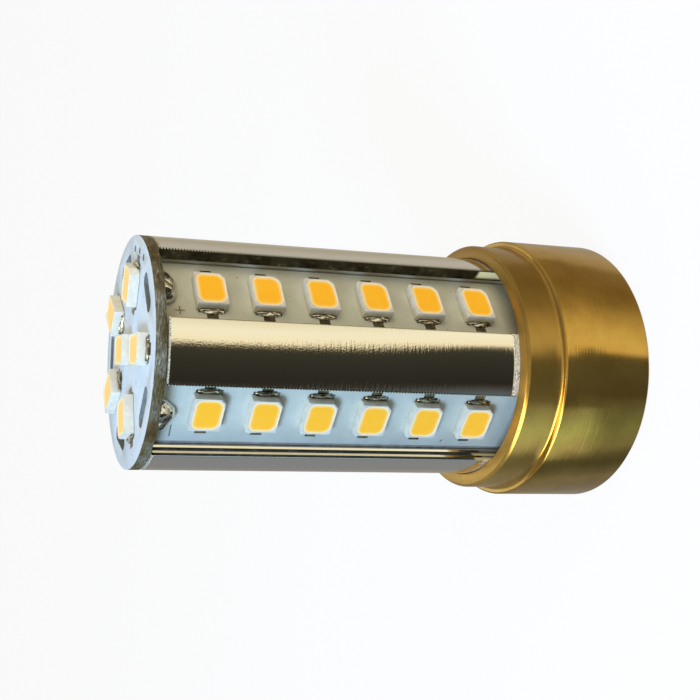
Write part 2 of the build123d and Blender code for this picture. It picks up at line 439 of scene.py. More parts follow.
# Two long steps down a slot's wall, drawn as (across, outwards) in mm from the slot's middle
step_profile = (
    (-3.6, 8.9),
    (-3.83, 8.9),
    (-3.95, 9.06),
    (-3.852, 9.655),
    (-3.954, 9.836),
    (-3.864, 10.36),
    (-3.864, 10.6),
    (-3.6, 10.6),
)
for turn in slot_turns[1:]:
    select_only()
    bpy.ops.mesh.primitive_circle_add(vertices=len(step_profile), radius=1, fill_type="NGON")
    broach = bpy.context.object
    for vertex, (across, outwards) in zip(broach.data.vertices, step_profile):
        vertex.co = (outwards * mm, across * mm, 0)
    bpy.ops.object.mode_set(mode="EDIT")
    bpy.ops.mesh.select_all(action="SELECT")
    bpy.ops.mesh.extrude_region_move(TRANSFORM_OT_translate={"value": (0, 0, mill_long * mm)})
    bpy.ops.mesh.select_all(action="SELECT")
    bpy.ops.mesh.normals_make_consistent(inside=False)
    bpy.ops.object.mode_set(mode="OBJECT")
    broach.rotation_euler = (0, 0, math.radians(turn))
    cut(tube, broach)
bpy.ops.mesh.primitive_cylinder_add(
    vertices=96, radius=core_radius * mm, depth=drill_long * mm, location=(0, 0, mill_middle * mm)
)
cut(tube, bpy.context.object)
select_only(tube)
bpy.ops.object.mode_set(mode="EDIT")
pick(
    "EDGE",
    lambda e: edge_between(e, 40)
    and abs(e.verts[0].co.z - e.verts[1].co.z) > 10 * mm
    and e.verts[0].co.xy.length > (tube_radius - 0.1) * mm,
)
bpy.ops.mesh.bevel(offset=band_edge * mm, segments=2, affect="EDGES")
pick(
    "EDGE",
    lambda e: edge_between(e, 40)
    and min(v.co.z for v in e.verts) > (tube_high - 0.01) * mm
    and min(v.co.xy.length for v in e.verts) > (slot_floor + 1.5) * mm,
)
bpy.ops.mesh.bevel(offset=end_chamfer * mm, segments=2, affect="EDGES")
bpy.ops.object.mode_set(mode="OBJECT")
bpy.ops.object.transform_apply()
bpy.ops.object.shade_smooth_by_angle(angle=math.radians(25))

# Bright nickel over polished aluminium: a near mirror with a faint warm colour. The polishing
# belt ran round the tube and left hair-thin lines, fainter near the collar and drawn 0.2 mm apart so
# that they show.
nickel, tree = empty_material("polished_nickel_plate")
place = node(tree, "TexCoord")
line_pitch = 0.2
stretch = node(
    tree, "Mapping", {"Scale": (0.3 / mm, 0.3 / mm, 1 / (line_pitch * mm))}, {"Vector": (place, "Object")}
)
lines = node(tree, "TexNoise", {"Scale": 1.0, "Detail": 3.0, "Roughness": 0.6}, {"Vector": (stretch, 0)})
grain = node(tree, "TexNoise", {"Scale": 6 / mm, "Detail": 2.0}, {"Vector": (place, "Object")})
both = node(tree, "Math", {"operation": "MULTIPLY_ADD", 1: 0.5}, {0: (grain, "Fac"), 2: (lines, "Fac")})
parts = node(tree, "SeparateXYZ", links={0: (place, "Object")})
worked = node(
    tree,
    "MapRange",
    {"From Min": 18 * mm, "From Max": 30 * mm, "To Min": 0.2, "To Max": 0.6},
    {"Value": (parts, "Z")},
)
marks = node(tree, "Bump", {"Distance": 0.02 * mm}, {"Strength": (worked, 0), "Height": (both, 0)})
# The last 0.65 mm above the collar's mouth was blasted and stays frosted, in sparkling 0.1 mm grains,
# most of all on the front band. The chamfer at the light end gets the same pale frost colour, a painted
# highlight for the bright line it shows
turn = node(tree, "Math", {"operation": "ARCTAN2"}, {0: (parts, "Y"), 1: (parts, "X")})
half_fifth = math.radians(fifth / 2)
front_turn = math.radians(band_turns[0])
by_front = node(tree, "Math", {"operation": "COMPARE", 1: front_turn, 2: half_fifth}, {0: (turn, 0)})
blast = node(tree, "MapRange", {"To Min": 0.25, "To Max": 1.0}, {"Value": (by_front, 0)})
blast_high, chamfer_low = 13.38, 46.27
low_down = node(tree, "Math", {"operation": "LESS_THAN", 1: blast_high * mm}, {0: (parts, "Z")})
blasted = node(tree, "Math", {"operation": "MULTIPLY"}, {0: (low_down, 0), 1: (blast, 0)})
# Painted highlight: the chamfer at the light end takes the pale frost colour and finish
chamfer_painted_highlight = node(tree, "Math", {"operation": "GREATER_THAN", 1: chamfer_low * mm}, {0: (parts, "Z")})
frost_and_painted_highlight = node(tree, "Math", {"operation": "MAXIMUM"}, {0: (blasted, 0), 1: (chamfer_painted_highlight, 0)})
sparkle = node(tree, "TexNoise", {"Scale": 9 / mm, "Detail": 1.0}, {"Vector": (place, "Object")})
frost_and_highlight_tone = node(
    tree,
    "ValToRGB",
    {"stops": [(0.38, "#9A8C6C"), (0.5, "#FBEDC2"), (0.62, "#FFFDF0")]},
    {0: (sparkle, "Fac")},
)
plated = node(
    tree, "Mix", {"data_type": "RGBA", 6: linear("#F4EFE4")}, {0: (frost_and_painted_highlight, 0), 7: (frost_and_highlight_tone, "Color")}
)
metallic = node(tree, "MapRange", {"To Min": 1.0, "To Max": 0.15}, {"Value": (frost_and_painted_highlight, 0)})
# The plating ends in teeth 0.28 mm apart along each slot's toothed edge, longest on the first slot, and
# is bare and dark behind them
flat = node(tree, "VectorMath", {"operation": "MULTIPLY", 1: (1, 1, 0)}, {0: (place, "Object")})
radius = node(tree, "VectorMath", {"operation": "LENGTH"}, {0: (flat, 0)})
first_turn = math.radians(slot_turns[0])
from_first = node(tree, "Math", {"operation": "SUBTRACT", 1: first_turn}, {0: (turn, 0)})
from_slot = node(tree, "Math", {"operation": "WRAP", 1: half_fifth, 2: -half_fifth}, {0: (from_first, 0)})
sine = node(tree, "Math", {"operation": "SINE"}, {0: (from_slot, 0)})
aside = node(tree, "Math", {"operation": "MULTIPLY"}, {0: (sine, 0), 1: (radius, "Value")})
tooth_pitch = 0.28
tooth = node(tree, "Math", {"operation": "PINGPONG", 1: tooth_pitch / 2 * mm}, {0: (parts, "Z")})
by_first = node(tree, "Math", {"operation": "COMPARE", 1: first_turn, 2: half_fifth}, {0: (turn, 0)})
tooth_long, first_tooth_long = 0.15, 0.34
bite = node(
    tree, "MapRange", {"To Min": tooth_long * mm, "To Max": first_tooth_long * mm}, {"Value": (by_first, 0)}
)
long_tooth = node(
    tree,
    "MapRange",
    {"From Min": 0.05 * mm, "From Max": 0.09 * mm, "To Min": 0.0},
    {"Value": (tooth, 0), "To Max": (bite, 0)},
)
wander = node(
    tree, "Math", {"operation": "MULTIPLY_ADD", 1: 0.06 * mm}, {0: (grain, "Fac"), 2: (long_tooth, 0)}
)
bitten = node(
    tree, "Math", {"operation": "COMPARE", 1: slot_width / 2 * mm}, {0: (aside, 0), 2: (wander, 0)}
)
tone = node(tree, "Mix", {"data_type": "RGBA", 7: linear("#3A372C")}, {0: (bitten, 0), 6: (plated, 2)})
worn = node(tree, "Math", {"operation": "MAXIMUM"}, {0: (frost_and_painted_highlight, 0), 1: (bitten, 0)})
rough = node(tree, "MapRange", {"To Min": 0.05, "To Max": 0.5}, {"Value": (worn, 0)})
frost_and_highlight_height = node(tree, "Math", {"operation": "MULTIPLY"}, {0: (frost_and_painted_highlight, 0), 1: (sparkle, "Fac")})
frosted = node(
    tree,
    "Bump",
    {"Strength": 1.0, "Distance": 0.15 * mm},
    {"Height": (frost_and_highlight_height, 0), "Normal": (marks, 0)},
)
metal = node(
    tree,
    "BsdfPrincipled",
    links={
        "Base Color": (tone, 2), "Metallic": (metallic, 0), "Roughness": (rough, 0), "Normal": (frosted, 0)
    },
)
node(tree, "OutputMaterial", links={"Surface": (metal, 0)})

# Milled aluminium on the slots' walls and floors: unplated, dull and greyish, with lengthwise steps
# from the cutter and smeared with pale paste deep in the slot. Beside the collar's mouth the upper wall
# is pale yellow and matte, a painted reflection of the brass
milled, tree = empty_material("milled_aluminium")
place = node(tree, "TexCoord")
parts = node(tree, "SeparateXYZ", links={0: (place, "Object")})
flat = node(tree, "VectorMath", {"operation": "MULTIPLY", 1: (1, 1, 0)}, {0: (place, "Object")})
radius = node(tree, "VectorMath", {"operation": "LENGTH"}, {0: (flat, 0)})
step_pitch = 0.45
steps = node(
    tree,
    "TexNoise",
    {"noise_dimensions": "1D", "Scale": 1 / (step_pitch * mm), "Detail": 2.0, "Roughness": 0.5},
    {"W": (radius, "Value")},
)
ridges = node(tree, "Bump", {"Strength": 0.9, "Distance": 0.12 * mm}, {"Height": (steps, "Fac")})
dirt = node(tree, "TexNoise", {"Scale": 1.4 / mm, "Detail": 3.0}, {"Vector": (place, "Object")})
bare = node(
    tree, "ValToRGB", {"stops": [(0.3, "#3B382D"), (0.6, "#545145"), (0.8, "#86826F")]}, {0: (dirt, "Fac")}
)
# Painted reflection: near the collar's mouth the upper wall turns pale yellow and matte, for the brass it
# mirrors
low_down = node(tree, "MapRange", {"From Min": 14.45 * mm, "From Max": 14.15 * mm}, {"Value": (parts, "Z")})
outer = node(tree, "MapRange", {"From Min": 9.9 * mm, "From Max": 10.2 * mm}, {"Value": (radius, "Value")})
painted_brass_reflection = node(tree, "Math", {"operation": "MULTIPLY"}, {0: (low_down, 0), 1: (outer, 0)})
smear = node(tree, "MapRange", {"From Min": 9.86 * mm, "From Max": 9.76 * mm}, {"Value": (radius, "Value")})
pasted = node(tree, "Mix", {"data_type": "RGBA", 7: linear("#B8AE94")}, {0: (smear, 0), 6: (bare, "Color")})
tone = node(tree, "Mix", {"data_type": "RGBA", 7: linear("#FFE8A4")}, {0: (painted_brass_reflection, 0), 6: (pasted, 2)})
paste_and_painted_reflection = node(tree, "Math", {"operation": "MAXIMUM"}, {0: (painted_brass_reflection, 0), 1: (smear, 0)})
metallic = node(tree, "MapRange", {"To Min": 1.0, "To Max": 0.0}, {"Value": (paste_and_painted_reflection, 0)})
metal = node(
    tree,
    "BsdfPrincipled",
    {"Roughness": 0.3},
    {"Base Color": (tone, 2), "Metallic": (metallic, 0), "Normal": (ridges, 0)},
)
node(tree, "OutputMaterial", links={"Surface": (metal, 0)})
tube.data.materials.append(nickel)
tube.data.materials.append(milled)


def from_slot_middle(point):
    """Distance in mm aside from the middle line of the nearest slot, and from the axis along that line."""
    turn = (math.degrees(math.atan2(point.y, point.x)) - slot_turns[0] + fifth / 2) % fifth - fifth / 2
    reach = point.xy.length / mm
    return reach * math.sin(math.radians(turn)), reach * math.cos(math.radians(turn))


# The slots' floors and walls are bare. The two steps' faces between their ridges get the same dark
# bare material, painted shade for the shade they lie in
for face in tube.data.polygons:
    across, outwards = from_slot_middle(face.center)
    upright = abs(face.normal.z) < 0.1
    in_slot = upright and 0.1 - slot_width / 2 < across < slot_width / 2 + 0.01 and 5 < outwards < 10.4
    painted_step_shade = -3.96 < across < -3.84 and (9.08 < outwards < 9.6 or 9.86 < outwards < 10.25)
    face.material_index = 1 if in_slot or painted_step_shade else 0
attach(tube, "root")
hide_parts("heat_sink_tube")


# End board
# A round fibreglass board under white solder mask, routed with a slot above each strip and
# three small holes. Its cut edge shows the bare green-grey laminate.
board_low, board_middle, board_high = 46.6, 47.1, 47.6
board_slot_turns = [-54 + fifth * k for k in range(5)]
router_radius, router_travel, router_ring = 0.75, 1.35, 8.6
hole_radius, hole_ring, cutter_long = 0.33, 9.7, 4
select_only()
bpy.ops.mesh.primitive_cylinder_add(
    vertices=360,
    radius=tube_radius * mm,
    depth=(board_high - board_low) * mm,
    location=(0, 0, (board_low + board_high) / 2 * mm),
)
end_board = bpy.context.object
end_board.name = "round_board"
for turn in board_slot_turns:
    bpy.ops.mesh.primitive_cylinder_add(vertices=48, radius=router_radius * mm, depth=cutter_long * mm)
    router = bpy.context.object
    bpy.ops.object.mode_set(mode="EDIT")
    for side in (-1, 1):
        pick("VERT", lambda v: v.co.y * side > 0.0001 * mm)
        bpy.ops.transform.translate(value=(0, side * router_travel * mm, 0))
    bpy.ops.object.mode_set(mode="OBJECT")
    router.rotation_euler = (0, 0, math.radians(turn))
    reach = Vector((router_ring * mm, 0, board_middle * mm))
    router.location = Matrix.Rotation(math.radians(turn), 3, "Z") @ reach
    cut(end_board, router)
for turn in (-30, -18, -6):
    x, y = hole_ring * mm * math.cos(math.radians(turn)), hole_ring * mm * math.sin(math.radians(turn))
    bpy.ops.mesh.primitive_cylinder_add(
        vertices=24, radius=hole_radius * mm, depth=cutter_long * mm, location=(x, y, board_middle * mm)
    )
    cut(end_board, bpy.context.object)
bpy.ops.object.transform_apply()
soften(end_board, 0.03)


def browned(tree, place, shade, spot, edge, heart, share, code):
    """Browns a shade by flux round a spot, in mm: nothing at the stain's edge, a share at its heart."""
    spot = [s * mm for s in spot]
    reach = node(tree, "VectorMath", {"operation": "DISTANCE", 1: spot}, {0: (place, "Object")})
    fall = {"From Min": edge * mm, "From Max": heart * mm, "To Max": share}
    burnt = node(tree, "MapRange", fall, {"Value": (reach, "Value")})
    mixing = {"data_type": "RGBA", "blend_type": "MULTIPLY", 7: linear(code)}
    return node(tree, "Mix", mixing, {0: (burnt, 0), 6: (shade, 2)})


def solder_mask(name, tones, mottle, speck, dirt, dent, roughness, stain=None):
    """Paint with mottling and specks of flux, both in waves per mm, dented where it is mottled."""
    material, tree = empty_material(name)
    place = node(tree, "TexCoord")
    mottling = {"Scale": mottle / mm, "Detail": 4.0, "Roughness": 0.6}
    mottle = node(tree, "TexNoise", mottling, {"Vector": (place, "Object")})
    specks = node(tree, "TexNoise", {"Scale": speck / mm, "Detail": 1.0}, {"Vector": (place, "Object")})
    tone = node(tree, "ValToRGB", {"stops": tones}, {0: (mottle, "Fac")})
    dirt = node(tree, "ValToRGB", {"stops": dirt}, {0: (specks, "Fac")})
    mixing = {"data_type": "RGBA", "blend_type": "MULTIPLY", 0: 1.0}
    shade = node(tree, "Mix", mixing, {6: (tone, "Color"), 7: (dirt, "Color")})
    if stain:
        shade = browned(tree, place, shade, **stain)
    dents = node(tree, "Bump", {"Strength": dent, "Distance": 0.02 * mm}, {"Height": (mottle, "Fac")})
    finish = {"Roughness": roughness, "IOR": 1.5}
    paint = node(tree, "BsdfPrincipled", finish, {"Base Color": (shade, 2), "Normal": (dents, 0)})
    node(tree, "OutputMaterial", links={"Surface": (paint, 0)})
    return material


# White solder mask: smooth, slightly glossy paint with faint mottling
mask = solder_mask(
    "white_solder_mask",
    [(0.3, "#C8D0CE"), (0.7, "#D6DEDC")],
    mottle=0.42,
    speck=2.6,
    dirt=[(0.2, "#8C8778"), (0.29, "#FFFFFF")],
    dent=0.12,
    roughness=0.34,
)

# Cut laminate: rough glass fibre and resin, green-grey with pale fibres lying round the edge, greyer
# and bluer in the routed slots, and browned by flux in one place beside a solder joint
laminate, tree = empty_material("cut_fibreglass_laminate")
place = node(tree, "TexCoord")
fibre_pitch = 0.11
stretch = node(
    tree, "Mapping", {"Scale": (1.8 / mm, 1.8 / mm, 1 / (fibre_pitch * mm))}, {"Vector": (place, "Object")}
)
fibres = node(tree, "TexNoise", {"Scale": 1.0, "Detail": 4.0, "Roughness": 0.75}, {"Vector": (stretch, 0)})
patches = node(tree, "TexNoise", {"Scale": 0.26 / mm, "Detail": 3.0}, {"Vector": (place, "Object")})
tone = node(
    tree,
    "ValToRGB",
    {"stops": [(0.34, "#413F32"), (0.48, "#7B796A"), (0.58, "#9E9D8F"), (0.68, "#D6D5C8")]},
    {0: (fibres, "Fac")},
)
warm = node(tree, "ValToRGB", {"stops": [(0.42, "#FCFAF2"), (0.6, "#A8945C")]}, {0: (patches, "Fac")})
shade = node(
    tree,
    "Mix",
    {"data_type": "RGBA", "blend_type": "MULTIPLY", 0: 1.0},
    {6: (tone, "Color"), 7: (warm, "Color")},
)
flat = node(tree, "VectorMath", {"operation": "MULTIPLY", 1: (1, 1, 0)}, {0: (place, "Object")})
radius = node(tree, "VectorMath", {"operation": "LENGTH"}, {0: (flat, 0)})
routed = node(
    tree,
    "MapRange",
    {"From Min": 10.8 * mm, "From Max": 10.6 * mm, "To Max": 0.6},
    {"Value": (radius, "Value")},
)
bluer_in_slots = node(tree, "Mix", {"data_type": "RGBA", 7: linear("#7C8688")}, {0: (routed, 0), 6: (shade, 2)})
flux_stain = {"spot": (-6.9, -8.6, 47.0), "edge": 1.9, "heart": 0.7, "share": 0.9, "code": "#A8863A"}
stained = browned(tree, place, bluer_in_slots, **flux_stain)
frays = node(tree, "Bump", {"Strength": 0.8, "Distance": 0.08 * mm}, {"Height": (fibres, "Fac")})
edge_stuff = node(
    tree,
    "BsdfPrincipled",
    {"Roughness": 0.55, "IOR": 1.52},
    {"Base Color": (stained, 2), "Normal": (frays, 0)},
)
node(tree, "OutputMaterial", links={"Surface": (edge_stuff, 0)})
end_board.data.materials.append(mask)
end_board.data.materials.append(laminate)
for face in end_board.data.polygons:
    face.material_index = 0 if abs(face.normal.z) > 0.9 else 1
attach(end_board, "root")
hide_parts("end_board")


# Strips
# Five narrow white boards with aluminium cores, each bedded in thermal paste on a slot's floor,
# from inside the collar up to the end board. One is modelled lying on its seat, with x across, y along
# the bulb and z outwards.
strip_face, strip_low, strip_high, strip_aside = 8.7, 10.0, 46.6, 0.1
strip_width, strip_thick = 7.2, 1.0
paste_width, paste_thick, paste_middle = 7.6, 0.9, -0.48


def seat(turn, distance, height, aside=0.0):
    """Place on the bulb: x across, y up the axis and z outwards, at a distance in mm."""
    out = Vector((math.cos(math.radians(turn)), math.sin(math.radians(turn)), 0))
    across = Vector((-out.y, out.x, 0))
    origin = (out * distance + across * aside + Vector((0, 0, height))) * mm
    place = Matrix((across, Vector((0, 0, 1)), out)).transposed().to_4x4()
    place.translation = origin
    return place


def settle(master, name, place):
    """Copies a finished piece with its own mesh to a place on the bulb."""
    copy = master.copy()
    copy.data = master.data.copy()
    copy.name = name
    copy.data.name = name
    copy.data.transform(place)
    copy.matrix_world = Matrix.Identity(4)
    bpy.context.scene.collection.objects.link(copy)
    return copy


def block(size, place=(0, 0, 0)):
    """A plain cuboid, its size and the place of its middle in mm, ready to be shaped."""
    select_only()
    bpy.ops.mesh.primitive_cube_add(size=1, location=[p * mm for p in place])
    piece = bpy.context.object
    piece.scale = [s * mm for s in size]
    bpy.ops.object.transform_apply()
    return piece


strip_middle = (strip_low + strip_high) / 2
strip = block((strip_width, strip_high - strip_low, strip_thick), (0, strip_middle, -strip_thick / 2))
bpy.ops.object.mode_set(mode="EDIT")
pick("EDGE", lambda e: abs(e.verts[0].co.z - e.verts[1].co.z) > 0.5 * mm)
bpy.ops.mesh.bevel(offset=0.2 * mm, segments=3, affect="EDGES")
bpy.ops.object.mode_set(mode="OBJECT")
soften(strip, 0.05)

# Solder mask of the strips: greyer than the end board's, satin, with a few specks of flux and a brown
# stain beside the first strip's joint
strip_mask = solder_mask(
    "grey_white_solder_mask",
    [(0.3, "#C3C7B6"), (0.7, "#D2D6C5")],
    mottle=0.38,
    speck=2.4,
    dirt=[(0.18, "#6A6454"), (0.23, "#FFFFFF")],
    dent=0.1,
    roughness=0.42,
    stain={"spot": (3.3, -8.3, 46.0), "edge": 1.8, "heart": 0.6, "share": 0.4, "code": "#C0A878"},
)


def grained(name, grain, stops, finish, relief=None):
    """A material whose one grain gives its tone, and its relief by strength and depth in mm."""
    material, tree = empty_material(name)
    place = node(tree, "TexCoord")
    noise = node(tree, "TexNoise", grain, {"Vector": (place, "Object")})
    tone = node(tree, "ValToRGB", {"stops": stops}, {0: (noise, "Fac")})
    surface = node(tree, "BsdfPrincipled", finish, {"Base Color": (tone, "Color")})
    if relief:
        settings = {"Strength": relief[0], "Distance": relief[1] * mm}
        bump = node(tree, "Bump", settings, {"Height": (noise, "Fac")})
        tree.links.new(bump.outputs[0], surface.inputs["Normal"])
    node(tree, "OutputMaterial", links={"Surface": (surface, 0)})
    return material


# Sheared aluminium core at the strips' edges: dull full metal with a fine drag grain
core_metal = grained(
    "sheared_aluminium_core",
    {"Scale": 2.6 / mm, "Detail": 3.0},
    [(0.3, "#A09E98"), (0.7, "#C8C6C0")],
    {"Metallic": 1.0, "Roughness": 0.45},
    relief=(0.4, 0.03),
)
strip.data.materials.append(strip_mask)
strip.data.materials.append(core_metal)
for face in strip.data.polygons:
    face.material_index = 0 if face.normal.z > 0.5 else 1

# Thermal paste squeezed up in the gaps beside the strip, almost to its face
paste_long = strip_high - strip_low - 1
paste = block((paste_width, paste_long, paste_thick), (-strip_aside, strip_middle, paste_middle))
soften(paste, 0.08)
grey_paste = grained(
    "thermal_paste",
    {"Scale": 1.1 / mm, "Detail": 3.0},
    [(0.3, "#85837A"), (0.7, "#A5A398")],
    {"Roughness": 0.6, "IOR": 1.41},
    relief=(0.6, 0.1),
)
paste.data.materials.append(grey_paste)
select_only(strip, paste)
bpy.ops.object.join()
for number, turn in enumerate(slot_turns, start=1):
    board = settle(strip, f"strip_board_{number}", seat(turn, strip_face, 0, strip_aside))
    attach(board, "root")
    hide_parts(f"led_strip_{number}")
bpy.data.objects.remove(strip)

# Printed marks beside the solder joints, in thin grey ink that lets the board show through in places:
# a plus on the first strip, a minus on the last
ink = grained(
    "printed_ink",
    {"Scale": 5 / mm, "Detail": 2.0},
    [(0.35, "#A8A594"), (0.5, "#77776C")],
    {"Roughness": 0.5, "IOR": 1.5},
)
stroke, ink_thick = 0.14, 0.012
left_right, up_down = ((1, 0), (-1, 0)), ((0, 1), (0, -1))
for name, turn, side, height, arm, ways in (
    ("plus_mark", slot_turns[0], -1.81, 44.88, 0.38, left_right + up_down),
    ("minus_mark", slot_turns[4], -2.3, 44.77, 0.56, left_right),
):
    mark = block((stroke, stroke, ink_thick))
    bpy.ops.object.mode_set(mode="EDIT")
    for x, y in ways:
        pick(
            "FACE",
            lambda f: f.normal.x * x + f.normal.y * y > 0.9 and f.calc_center_median().length < 0.1 * mm,
        )
        bpy.ops.mesh.extrude_region_move(
            TRANSFORM_OT_translate={"value": (x * (arm * mm), y * (arm * mm), 0)}
        )
    bpy.ops.object.mode_set(mode="OBJECT")
    mark.data.materials.append(ink)
    print_mark = settle(mark, name, seat(turn, strip_face + ink_thick / 2, height, side))
    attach(print_mark, "root")
    bpy.data.objects.remove(mark)


# LED packages
# A white moulded housing with one cut corner holds a well of yellow phosphor gel. It stands on
# two metal ends, each soldered to a T-shaped copper pad on the board.
housing_long, housing_short, housing_high, cut_corner = 3.6, 2.9, 1.0, 0.5
package = block((housing_long, housing_short, housing_high - 0.04), (0, 0, housing_high / 2 + 0.02))
bpy.ops.object.mode_set(mode="EDIT")
pick("EDGE", lambda e: min(v.co.x for v in e.verts) > 1 * mm and max(v.co.y for v in e.verts) < -1 * mm)
bpy.ops.mesh.bevel(offset=cut_corner * mm, segments=1, affect="EDGES")
pick("FACE", lambda f: f.normal.z > 0.9)
bpy.ops.transform.resize(value=(0.986, 0.986, 1), center_override=(0, 0, 0))
bpy.ops.object.mode_set(mode="OBJECT")


def lozenge(long, short, high, low, corner, big_corner):
    """A flat block with rounded corners, the two on the collar's side rounder, sizes in mm."""
    piece = block((long, short, high - low), (0, 0, (high + low) / 2))
    bpy.ops.object.mode_set(mode="EDIT")
    for side, width in ((-1, big_corner), (1, corner)):
        pick(
            "EDGE",
            lambda e: abs(e.verts[0].co.z - e.verts[1].co.z) > 0.01 * mm
            and edge_between(e, 80)
            and min(side * v.co.y for v in e.verts) > 0.9 * mm,
        )
        bpy.ops.mesh.bevel(offset=width * mm, segments=6, affect="EDGES")
    bpy.ops.object.mode_set(mode="OBJECT")
    return piece


cut(package, lozenge(long=3.32, short=2.7, high=1.2, low=0.93, corner=0.72, big_corner=0.92))
gel_long, gel_short, gel_corner, gel_big_corner = 3.3, 2.68, 0.71, 0.91
gel_low, gel_high = 0.85, 0.965
gel_block = lozenge(gel_long, gel_short, gel_high, gel_low, gel_corner, gel_big_corner)
bpy.ops.object.mode_set(mode="EDIT")
pick("FACE", lambda f: f.normal.z > 0.9)
for ring_width in (0.08, 0.1, 0.22):
    bpy.ops.mesh.inset(thickness=ring_width * mm)
bpy.ops.object.mode_set(mode="OBJECT")
# How near each point of the gel lies to the well's wall, from 0 at 0.4 mm inside it to 1 at the wall
thin_width = 0.4
rim = gel_block.data.attributes.new("rim", "FLOAT", "POINT")
for index, vertex in enumerate(gel_block.data.vertices):
    corner = gel_big_corner if vertex.co.y < 0 else gel_corner
    beyond_x = abs(vertex.co.x) - (gel_long / 2 - corner) * mm
    beyond_y = abs(vertex.co.y) - (gel_short / 2 - corner) * mm
    reach = math.hypot(max(beyond_x, 0), max(beyond_y, 0)) + min(max(beyond_x, beyond_y), 0)
    rim.data[index].value = max(0.0, min(1.0, 1 - (corner * mm - reach) / (thin_width * mm)))

# Moulded nylon housing: bright white, slightly glossy
see_into = {"Subsurface Weight": 0.15, "Subsurface Radius": (0.4, 0.4, 0.35), "Subsurface Scale": 0.3 * mm}
nylon = grained(
    "moulded_white_nylon",
    {"Scale": 1.5 / mm, "Detail": 3.0},
    [(0.35, "#E0DAC4"), (0.65, "#ECE7D4")],
    {"Roughness": 0.38, "IOR": 1.53, **see_into},
    relief=(0.15, 0.02),
)

# Phosphor in silicone gel: saturated yellow-orange with a little emission, a painted glow, and paler
# where the gel thins towards the housing's rim. In the end board's packages it is paler still, painted
# light for the brighter light that falls there
phosphor, tree = empty_material("phosphor_gel")
place = node(tree, "TexCoord")
thin = node(tree, "Attribute", {"attribute_name": "rim"})
cloud = node(tree, "TexNoise", {"Scale": 0.9 / mm, "Detail": 2.0}, {"Vector": (place, "Object")})
depth = node(tree, "Math", {"operation": "MULTIPLY_ADD", 1: 0.25}, {0: (cloud, "Fac"), 2: (thin, "Fac")})
tone = node(
    tree,
    "ValToRGB",
    {"stops": [(0.1, "#FFBA28"), (0.3, "#FFBF3C"), (0.6, "#FFCC66"), (0.85, "#F6D898"), (1.0, "#EFE2BE")]},
    {0: (depth, 0)},
)
parts = node(tree, "SeparateXYZ", links={0: (place, "Object")})
# Painted light: the end board's packages get a paler gel colour
end_board_painted_light = node(
    tree, "MapRange", {"From Min": 47.9 * mm, "From Max": 48.0 * mm, "To Max": 0.34}, {"Value": (parts, "Z")}
)
mixed = node(tree, "Mix", {"data_type": "RGBA", 7: linear("#FFE6A4")}, {0: (end_board_painted_light, 0), 6: (tone, "Color")})
# Painted glow: the gel emits a little light of its own colour
gel = node(
    tree,
    "BsdfPrincipled",
    {"Roughness": 0.28, "IOR": 1.41, "Emission Strength": 0.24},
    {"Base Color": (mixed, 2), "Emission Color": (mixed, 2)},
)
node(tree, "OutputMaterial", links={"Surface": (gel, 0)})

# Tin solder: bright full metal, wavy where it froze
tin = grained(
    "tin_solder",
    {"Scale": 1.1 / mm, "Detail": 2.0, "Distortion": 0.8},
    [(0.35, "#9C9484"), (0.6, "#F2EEE0")],
    {"Metallic": 1.0, "Roughness": 0.14},
    relief=(0.7, 0.16),
)

# Tinned copper pad: thin full metal, darkened by flux
pad_metal = grained(
    "tinned_copper",
    {"Scale": 1.8 / mm, "Detail": 3.0},
    [(0.35, "#5E5648"), (0.65, "#8E8674")],
    {"Metallic": 1.0, "Roughness": 0.3},
)

package.data.materials.append(nylon)
soften(package, 0.03, angle=35)
gel_block.data.materials.append(phosphor)

pad_size, pad_aside, stem_long, stem_share = (0.6, 2.5, 0.03), 1.8, 0.7, 0.42
lead_size, lead_aside, lead_middle = (0.26, 2.1, 0.24), 1.79, 0.14
mound_radii, mound_aside, mound_low, mound_wander = (0.32, 1.16, 0.26), 1.95, 0.02, 0.07
ends = []
for side in (-1, 1):
    # Pad: a bar beside the package, then a narrower stem away from it
    pad_middle = pad_size[2] / 2
    pad = block(pad_size, (side * pad_aside, 0, pad_middle))
    bpy.ops.object.mode_set(mode="EDIT")
    pick("FACE", lambda f: f.normal.x * side > 0.9)
    bpy.ops.mesh.extrude_region_move(TRANSFORM_OT_translate={"value": (0, 0, 0)})
    bpy.ops.transform.resize(value=(1, stem_share, 1), center_override=(0, 0, pad_middle * mm))
    bpy.ops.mesh.extrude_region_move(TRANSFORM_OT_translate={"value": (side * stem_long * mm, 0, 0)})
    bpy.ops.object.mode_set(mode="OBJECT")
    pad.data.materials.append(pad_metal)
    ends.append(pad)
    # Metal end of the lead frame
    lead = block(lead_size, (side * lead_aside, 0, lead_middle))
    soften(lead, 0.04)
    lead.data.materials.append(pad_metal)
    ends.append(lead)
    # Solder: a low mound that runs from the lead down to the pad
    select_only()
    bpy.ops.mesh.primitive_uv_sphere_add(
        segments=12, ring_count=8, radius=1, location=(side * mound_aside * mm, 0, pad_size[2] * mm)
    )
    mound = bpy.context.object
    mound.scale = [r * mm for r in mound_radii]
    bpy.ops.object.transform_apply()
    bpy.ops.object.mode_set(mode="EDIT")
    bpy.ops.mesh.select_all(action="SELECT")
    bpy.ops.transform.vertex_random(offset=mound_wander * mm, uniform=0.0, normal=0.7, seed=4 + side)
    bpy.ops.mesh.subdivide(number_cuts=1, smoothness=1.0)
    bpy.ops.mesh.select_all(action="SELECT")
    bpy.ops.mesh.bisect(
        plane_co=(0, 0, mound_low * mm), plane_no=(0, 0, 1), clear_inner=True, use_fill=True
    )
    bpy.ops.object.mode_set(mode="OBJECT")
    bpy.ops.object.shade_smooth_by_angle(angle=math.radians(50))
    mound.data.materials.append(tin)
    ends.append(mound)
select_only(package, gel_block, *ends)
bpy.ops.object.join()

first_led, led_pitch, led_ring = 41.95, 5.31, 6.45
